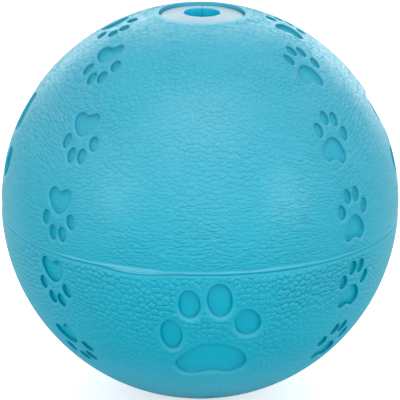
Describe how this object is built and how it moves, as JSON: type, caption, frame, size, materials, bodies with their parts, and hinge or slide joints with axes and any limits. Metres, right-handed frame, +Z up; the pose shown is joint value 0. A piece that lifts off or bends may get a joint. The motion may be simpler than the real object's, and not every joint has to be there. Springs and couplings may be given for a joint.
{
  "type": "rubber treat ball",
  "caption": "Hollow rubber treat ball for dogs: grained half shells bonded at a lapped seam, pressed paw prints, a recessed mouth tube at the top and a maze disc clamped inside.",
  "frame": {"origin": "lowest point of the ball, where it touches the floor", "axes": "+Z up through the ball's centre and the mouth, -Y towards the large paw print at the front, +X to the right of someone who looks at that print"},
  "size_m": [0.11, 0.11, 0.1087],
  "materials": {
    "shell_rubber": "turquoise moulded rubber with a pebbled leather-like grain, satin",
    "mouth_rubber": "turquoise moulded rubber, smooth and slightly glossy",
    "maze_rubber": "turquoise moulded rubber, smooth and matt",
    "seam_cement": "cured rubber cement, slightly glossy"
  },
  "bodies": {
    "root": {"upper_shell": "shell_rubber", "lower_shell": "shell_rubber", "mouth_tube": "mouth_rubber", "maze_disc": "maze_rubber", "seam_bond": "seam_cement"}
  },
  "joints": []
}
